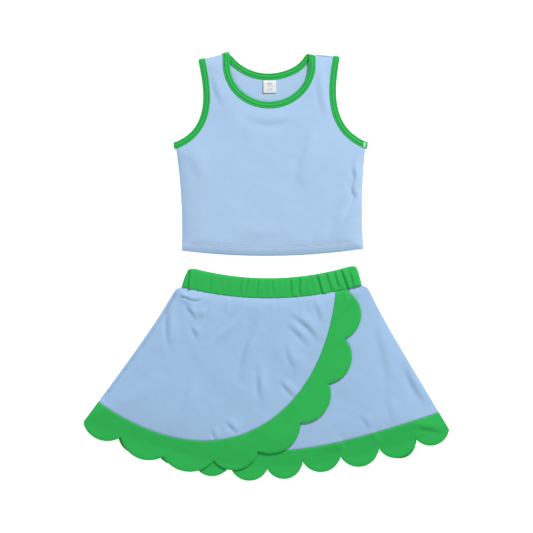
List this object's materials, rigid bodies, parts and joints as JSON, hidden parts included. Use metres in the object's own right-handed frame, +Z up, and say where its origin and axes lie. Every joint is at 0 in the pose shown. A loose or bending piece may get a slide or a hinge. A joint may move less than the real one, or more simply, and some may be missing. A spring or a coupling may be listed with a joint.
{
  "type": "cheer uniform",
  "caption": "Child's two-piece cheer uniform laid flat: sleeveless crop top with bound edges and an A-line skirt with a scalloped mock-wrap overlay.",
  "frame": {"origin": "middle of the footprint of the two garments as laid, on the table", "axes": "+Z up from the table; +Y towards the neck; +X towards the garment's left-hand side as worn, which is the right of the picture seen from above"},
  "size_m": [0.5308, 0.6158, 0.014],
  "materials": {
    "knit_jersey": "light blue cotton-blend jersey knit, matt",
    "trim_knit": "green knit used for bindings, waistband and scalloped borders, matt",
    "woven_label": "white woven satin label, soft sheen",
    "braided_elastic": "white braided elastic webbing",
    "overlock_thread": "polyester overlock thread over the seam allowances"
  },
  "bodies": {
    "skirt": {"waistband_casing": "trim_knit", "waist_elastic": "braided_elastic", "skirt_back_panel": "knit_jersey", "skirt_front_panel": "knit_jersey", "back_hem_border": "trim_knit", "back_hem_facing": "trim_knit", "front_hem_border": "trim_knit", "front_hem_facing": "trim_knit", "waist_seam_back": "overlock_thread", "waist_seam_front": "overlock_thread", "skirt_side_seam_left": "overlock_thread", "skirt_side_seam_right": "overlock_thread", "overlay_panel": "knit_jersey"},
    "top": {"top_back_panel": "knit_jersey", "top_front_panel": "knit_jersey", "neck_binding": "trim_knit", "armhole_binding_left": "trim_knit", "shoulder_seam_left": "overlock_thread", "top_side_seam_left": "overlock_thread", "armhole_binding_right": "trim_knit", "shoulder_seam_right": "overlock_thread", "top_side_seam_right": "overlock_thread"},
    "overlay_flap": {"overlay_flap_panel": "knit_jersey", "overlay_flap_border": "trim_knit", "overlay_flap_facing": "trim_knit"},
    "neck_label": {"neck_label": "woven_label"}
  },
  "joints": [
    {"name": "top_slide", "type": "slide", "parent": "skirt", "child": "top", "axis": [0, 1, 0], "range_m": [-0.01, 0.2]},
    {"name": "overlay_fold", "type": "hinge", "parent": "skirt", "child": "overlay_flap", "pos_m": [-0.07358, -0.11909, 0.0129], "axis": [-0.9056, -0.4242, 0], "range_deg": [0, 110]},
    {"name": "label_fold", "type": "hinge", "parent": "top", "child": "neck_label", "pos_m": [0.00433, 0.26889, 0.0035], "axis": [-0.9998, -0.0192, 0], "range_deg": [0, 140]}
  ]
}
